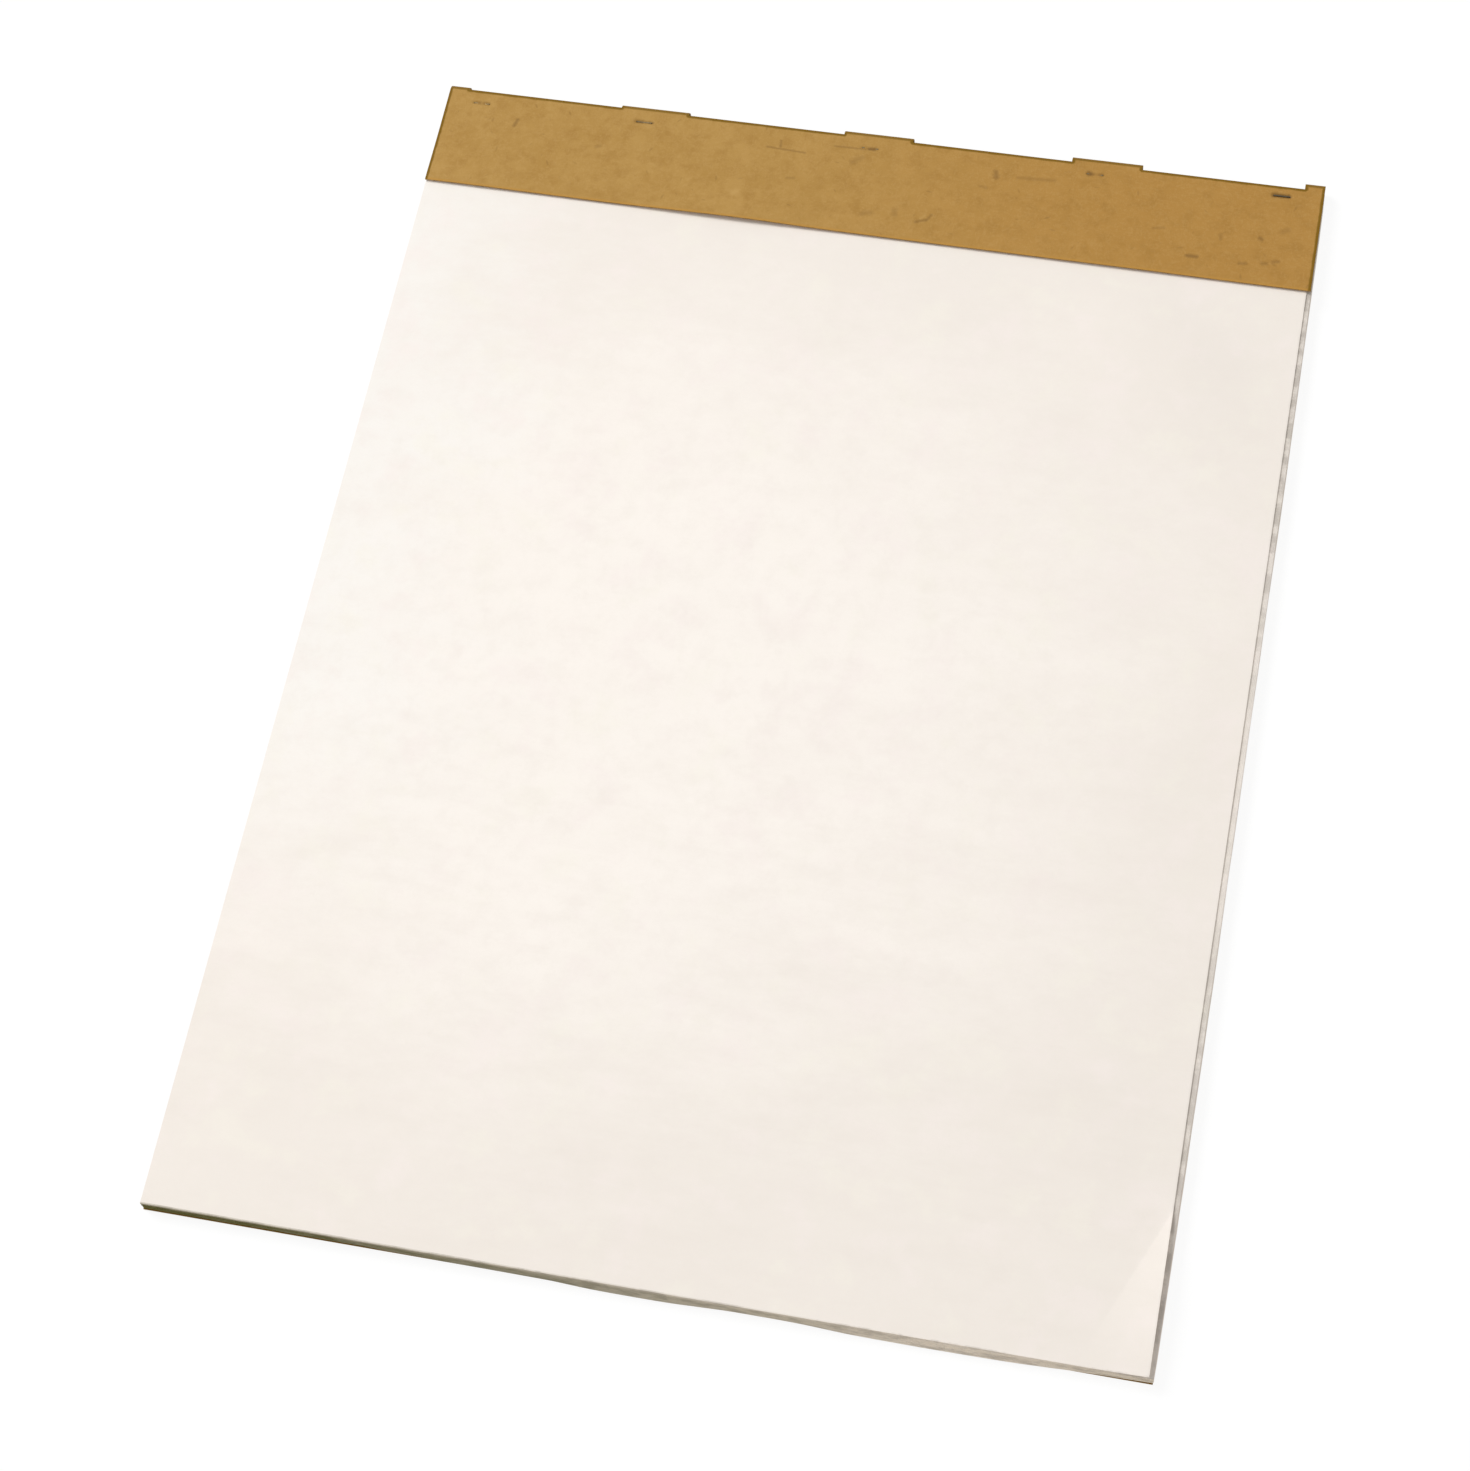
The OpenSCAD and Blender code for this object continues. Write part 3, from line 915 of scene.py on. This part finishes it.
def turn_corner():
    """A tree that stacks the top sheets, lifts their corner about the crease and lays them in waves."""
    takes = {"Sheets": "Int", "Face": "Material", "Cut Edge": "Material"}
    takes.update({"Crease Start": "Vector", "Crease Run": "Vector", "Crease Out": "Vector"})
    takes.update({"Ridge Place": "Vector", "Ridge Across": "Vector"})
    takes.update(floats("Pitch", "Paper", "First Level", "Slope at Front", "Slope at Side"))
    takes.update(floats("Wave Height", "Ridge Height", "Free Below"))
    tree, get = form_tree("turn_corner", takes)
    sheet = given_thickness(tree, get["Geometry"], 0, 0, get["Paper"])
    pile = stacked(tree, sheet, get["Sheets"], get["Pitch"], get["First Level"])
    place = add(tree, "GeometryNodeInputPosition").outputs[0]
    x, y, z = apart(tree, place)
    flat = vector(tree, x, y, 0)
    from_crease = measured_from(tree, flat, get["Crease Start"])
    out = product(tree, from_crease, get["Crease Out"])
    along = product(tree, from_crease, get["Crease Run"])
    whole = product(tree, get["Crease Run"], get["Crease Run"])
    along = calc(tree, "DIVIDE", along, whole)
    slope = ramp(tree, along, 0, 1, get["Slope at Front"], get["Slope at Side"])
    lift = times(tree, calc(tree, "MAXIMUM", out, 0.0), calc(tree, "MAXIMUM", slope, 0.0))
    ripples = noise(tree, vector(tree, times(tree, x, 0.2), y, 0), 14, 2, 0.5)
    ripples = fade(tree, ripples, 0.3, 0.75)
    ripples = times(tree, ripples, fade(tree, y, 0.12, -0.1, 0.25, 1))
    swells = fade(tree, noise(tree, vector(tree, x, y, 0.37), 3.2, 2, 0.5), 0.3, 0.7)
    waves = calc(tree, "MULTIPLY_ADD", swells, 0.5, ripples)
    waves = times(tree, waves, get["Wave Height"])
    past_front = minus(tree, y, block_low.y)
    past_side = minus(tree, block_high.x, calc(tree, "ABSOLUTE", x))
    inside = calc(tree, "MINIMUM", past_side, past_front)
    waves = times(tree, waves, fade(tree, inside, 0, 60 * mm, 0.2, 1))
    from_ridge = measured_from(tree, flat, get["Ridge Place"])
    beside = product(tree, from_ridge, get["Ridge Across"])
    ridge = times(tree, fade(tree, beside, -90 * mm, 0), fade(tree, beside, 50 * mm, 0))
    ends = product(tree, from_ridge, quarter_turned(tree, get["Ridge Across"]))
    ends = calc(tree, "ABSOLUTE", ends)
    ridge = times(tree, ridge, fade(tree, ends, 130 * mm, 20 * mm))
    waves = calc(tree, "MULTIPLY_ADD", ridge, get["Ridge Height"], waves)
    free = fade(tree, minus(tree, get["Free Below"], y), -2 * mm, 60 * mm)
    waves = times(tree, waves, free)
    new_z = calc(tree, "ADD", z, calc(tree, "ADD", lift, waves))
    return finished(tree, moved(tree, pile, x, y, new_z), get["Face"], get["Cut Edge"])


leaf_sizes = {
    "Sheets": leaf_count,
    "Pitch": pitch,
    "Paper": paper_t,
    "First Level": board_t + (sheet_count - leaf_count) * pitch,
    "Crease Start": crease_start,
    "Crease Run": crease_run,
    "Crease Out": crease_out,
    "Slope at Front": slope_at_front,
    "Slope at Side": slope_at_side,
    "Wave Height": wave_height,
    "Ridge Place": ridge_place,
    "Ridge Across": ridge_across,
    "Ridge Height": ridge_height,
    "Free Below": fold_y - flap_right,
    "Face": paper_face,
    "Cut Edge": paper_cut,
}
top_sheets = formed("top_sheets", scored_sheet(), turn_corner(), leaf_sizes)
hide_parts("sheet_block")
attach(top_sheets, "root")

# Staples
# Five wire staples hold the board and the sheets together. Each is driven through the flap, the sheets and
# the back, and its ends are clinched inwards behind. Some sank so deep that the flap closed over them.

clinch_level = 0.1 * mm + wire_t / 2
crown_level = pad_t - wire_t / 2
leg_x = crown_w / 2 - wire_t / 2
wire_bend = 0.45 * mm
wire_rounding = 0.16 * mm
crown_sag = [0.5 * mm, 0.4 * mm, 0.5 * mm, 0.6 * mm, 0]
crown_tarnish_and_shade = [0.25, 0.6, 0.5, 0.6, 1]
steel_light = (168, 146, 102)
steel_dark = (112, 94, 58)
steel_black = (84, 76, 60)


def staple_spots():
    """A point for each staple, with how far its crown is driven in and how dark it is."""
    mesh = bpy.data.meshes.new("staple_spots")
    mesh.from_pydata([(x, fold_y - staple_back, 0) for x in staples_x], [], [])
    marked(mesh, "sag", crown_sag)
    marked(mesh, "tarnish_and_shade", crown_tarnish_and_shade)
    return mesh


def rounded(tree, line, radius, count):
    """A line with its corners rounded."""
    takes = {"Curve": line, "Radius": radius, "Count": count}
    return add(tree, "GeometryNodeFilletCurve", takes, mode="POLY").outputs[0]


def bend_staples():
    """A tree that bends one staple from flat wire and drives a copy in at each point."""
    takes = floats("Leg", "Crown Level", "Clinch Level", "Clinch", "Wire Width", "Wire Thickness")
    takes.update({"Bend Radius": "Float", "Wire Rounding": "Float", "Steel": "Material"})
    tree, get = form_tree("bend_staples", takes)
    leg = get["Leg"]
    tip = minus(tree, leg, get["Clinch"])
    minus_leg = times(tree, leg, -1)
    minus_tip = times(tree, tip, -1)
    low = get["Clinch Level"]
    high = get["Crown Level"]
    corners = [(minus_tip, low), (minus_leg, low), (minus_leg, high), (leg, high), (leg, low), (tip, low)]
    wire = add(tree, "GeometryNodeMeshLine", {"Count": len(corners)}).outputs[0]
    choose = add(tree, "GeometryNodeIndexSwitch", data_type="VECTOR")
    while len(choose.index_switch_items) < len(corners):
        choose.index_switch_items.new()
    joined(tree, add(tree, "GeometryNodeInputIndex").outputs[0], choose.inputs[0])
    for socket, (x, z) in zip(choose.inputs[1:], corners):
        joined(tree, vector(tree, x, 0, z), socket)
    bent = {"Geometry": wire, "Position": choose.outputs[0]}
    wire = add(tree, "GeometryNodeSetPosition", bent).outputs[0]
    wire = add(tree, "GeometryNodeMeshToCurve", {0: wire}).outputs[0]
    wire = rounded(tree, wire, get["Bend Radius"], 4)
    wire = add(tree, "GeometryNodeSubdivideCurve", {"Curve": wire, "Cuts": 5}).outputs[0]
    section = {"Width": get["Wire Width"], "Height": get["Wire Thickness"]}
    section = add(tree, "GeometryNodeCurvePrimitiveQuadrilateral", section, mode="RECTANGLE").outputs[0]
    section = rounded(tree, section, get["Wire Rounding"], 3)
    staple = {"Curve": wire, "Profile Curve": section, "Fill Caps": True}
    staple = add(tree, "GeometryNodeCurveToMesh", staple).outputs[0]
    place = add(tree, "GeometryNodeInputPosition").outputs[0]
    staple = kept(tree, staple, "on_staple", place, "FLOAT_VECTOR")
    driven = {"Points": get["Geometry"], "Instance": staple}
    driven = add(tree, "GeometryNodeInstanceOnPoints", driven).outputs[0]
    driven = add(tree, "GeometryNodeRealizeInstances", {"Geometry": driven}).outputs[0]
    x, y, z = apart(tree, place)
    own_x, _, own_z = apart(tree, read(tree, "on_staple", "FLOAT_VECTOR"))
    reach = calc(tree, "DIVIDE", own_x, leg)
    kept_up = calc(tree, "POWER", calc(tree, "ABSOLUTE", reach), 4)
    dip = times(tree, minus(tree, 1, kept_up), read(tree, "sag"))
    dip = times(tree, dip, fade(tree, own_z, 0.8 * pad_t, 0.9 * pad_t))
    driven = moved(tree, driven, x, y, minus(tree, z, calc(tree, "MAXIMUM", dip, 0.0)))
    coat = {"Geometry": driven, "Material": get["Steel"]}
    driven = add(tree, "GeometryNodeSetMaterial", coat).outputs[0]
    add(tree, "NodeGroupOutput", {0: driven})
    return tree


def staple_steel():
    """Dull steel wire, drawn lengthways and browned a little; each crown is darkened by its own amount,
    partly tarnish and partly painted shade in its dent.
    """
    material, tree, shader = finish_of("staple_steel")
    place = add(tree, "ShaderNodeTexCoord").outputs["Object"]
    drawn = noise(tree, scaled(tree, place, 0.1, 1, 1), 5200, 3)
    browned = noise(tree, place, 600, 4, 0.6)
    colour = coloured(tree, fade(tree, browned, 0.35, 0.7), steel_light, steel_dark)
    # Each crown is darker by its own amount: partly tarnish, partly painted shade where it lies in its
    # dent.
    tarnish_and_shade = stored(tree, "tarnish_and_shade")
    colour = coloured(tree, tarnish_and_shade, colour, steel_black)
    joined(tree, colour, shader.inputs["Base Color"])
    joined(tree, fade(tree, browned, 0.2, 0.8, 0.42, 0.7), shader.inputs["Roughness"])
    raised(tree, shader, drawn, 0.03 * mm, 0.5)
    shader.inputs["Metallic"].default_value = 0.7
    return material


staple_sizes = {
    "Leg": leg_x,
    "Crown Level": crown_level,
    "Clinch Level": clinch_level,
    "Clinch": clinch_l - wire_t / 2,
    "Wire Width": wire_w,
    "Wire Thickness": wire_t,
    "Bend Radius": wire_bend,
    "Wire Rounding": wire_rounding,
    "Steel": staple_steel(),
}
staples = formed("wire_staples", staple_spots(), bend_staples(), staple_sizes)
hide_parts("staples")
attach(staples, "root")

# Studio floor and backdrop
# The pad lies on a plain pale floor that runs on into a white surround. The floor shows white to the
# camera, keeps the soft shadow of the pad, and throws light back up on the cut edges of the sheets.

floor_size = 7.0
floor_gap = 0.2 * mm
floor_shade = 0.13
floor_glow = 0.89
floor_bounce = 0.9


def seen_directly(tree):
    """1 for what the camera sees, straight or in a gloss or a glass; 0 for what lights the pad."""
    rays = add(tree, "ShaderNodeLightPath").outputs
    mirrored = calc(tree, "MAXIMUM", rays["Is Glossy Ray"], rays["Is Transmission Ray"])
    return calc(tree, "MAXIMUM", rays["Is Camera Ray"], mirrored)


def pale_floor():
    """Matt floor: a white that keeps shadows for the camera, and pale grey for what it lights."""
    material = bpy.data.materials.new("pale_floor")
    material.use_nodes = True
    tree = material.node_tree
    tree.nodes.remove(tree.nodes["Principled BSDF"])
    shadowed = add(tree, "ShaderNodeBsdfDiffuse", {"Color": (floor_shade, floor_shade, floor_shade, 1)})
    glow = add(tree, "ShaderNodeEmission", {"Strength": floor_glow})
    both = add(tree, "ShaderNodeAddShader", {0: shadowed.outputs[0], 1: glow.outputs[0]})
    matt = add(tree, "ShaderNodeBsdfDiffuse", {"Color": (floor_bounce, floor_bounce, floor_bounce, 1)})
    chosen = {0: seen_directly(tree), 1: matt.outputs[0], 2: both.outputs[0]}
    chosen = add(tree, "ShaderNodeMixShader", chosen)
    joined(tree, chosen.outputs[0], tree.nodes["Material Output"].inputs["Surface"])
    return material


def studio_floor():
    """A wide flat floor just under the pad."""
    half = floor_size / 2
    corners = [(-half, -half), (half, -half), (half, half), (-half, half)]
    mesh = bpy.data.meshes.new("studio_floor")
    mesh.from_pydata([(x, y, -floor_gap) for x, y in corners], [], [(0, 1, 2, 3)])
    mesh.materials.append(pale_floor())
    floor = bpy.data.objects.new("studio_floor", mesh)
    bpy.context.scene.collection.objects.link(floor)
    return floor


studio_floor()

# Studio light
# A wide soft lamp stands to the upper left of the pad, behind it. A weak one low in front lights the cut
# edges of the sheets there, and an even light from all round fills the shadows.

key_place = Vector((-7.3, 3.7, 8.8))
key_size = 5.0
key_power = 950
fill_place = Vector((3.5, -7.5, 3.0))
fill_size = 4.0
fill_power = 135
surround_light = 0.45


def surround():
    """White to the camera, and a weak even light on the pad."""
    world = bpy.data.worlds.new("white_surround")
    world.use_nodes = True
    tree = world.node_tree
    ground = tree.nodes["Background"]
    ground.inputs["Color"].default_value = (1, 1, 1, 1)
    strength = fade(tree, seen_directly(tree), 0, 1, surround_light, 1)
    joined(tree, strength, ground.inputs["Strength"])
    return world


def soft_lamp(name, place, target, size, power):
    """A square soft lamp at a place, turned to a target."""
    light = bpy.data.lights.new(name, "AREA")
    light.shape = "SQUARE"
    light.size = size
    light.energy = power
    lamp = bpy.data.objects.new(name, light)
    lamp.location = place
    lamp.rotation_euler = (target - place).to_track_quat("-Z", "Y").to_euler()
    bpy.context.scene.collection.objects.link(lamp)
    return lamp


bpy.context.scene.world = surround()
soft_lamp("key_lamp", key_place, Vector((0, 0, 0)), key_size, key_power)
soft_lamp("fill_lamp", fill_place, Vector((0, 0, 0)), fill_size, fill_power)
bpy.context.scene.view_settings.view_transform = "Standard"

# Camera
# It looks down on the pad from its front right, from about two metres away, with a short tele lens.
# The view is turned a little about its axis, so the pad leans to the right in the picture.

lens_mm = 78.26
aim = Vector((-11.658, -58.456, 12.7)) * mm
azimuth = math.radians(-21.17)
elevation = math.radians(64.772)
roll = math.radians(-11.024)
distance = 2266.4 * mm


def camera_turn():
    """The camera's axes as a rotation: its right, its up and its back."""
    ahead = Vector((math.sin(azimuth), math.cos(azimuth), -math.tan(elevation))).normalized()
    level = Vector((math.cos(azimuth), -math.sin(azimuth), 0))
    upright = level.cross(ahead)
    right = level * math.cos(roll) + upright * math.sin(roll)
    up = upright * math.cos(roll) - level * math.sin(roll)
    return ahead, Matrix((right, up, -ahead)).transposed()


ahead, turn = camera_turn()
lens = bpy.data.cameras.new("camera")
lens.lens = lens_mm
lens.sensor_width = 36
lens.sensor_fit = "HORIZONTAL"
camera = bpy.data.objects.new("camera", lens)
camera.location = aim - ahead * distance
camera.rotation_euler = turn.to_euler()
bpy.context.scene.collection.objects.link(camera)
bpy.context.scene.camera = camera
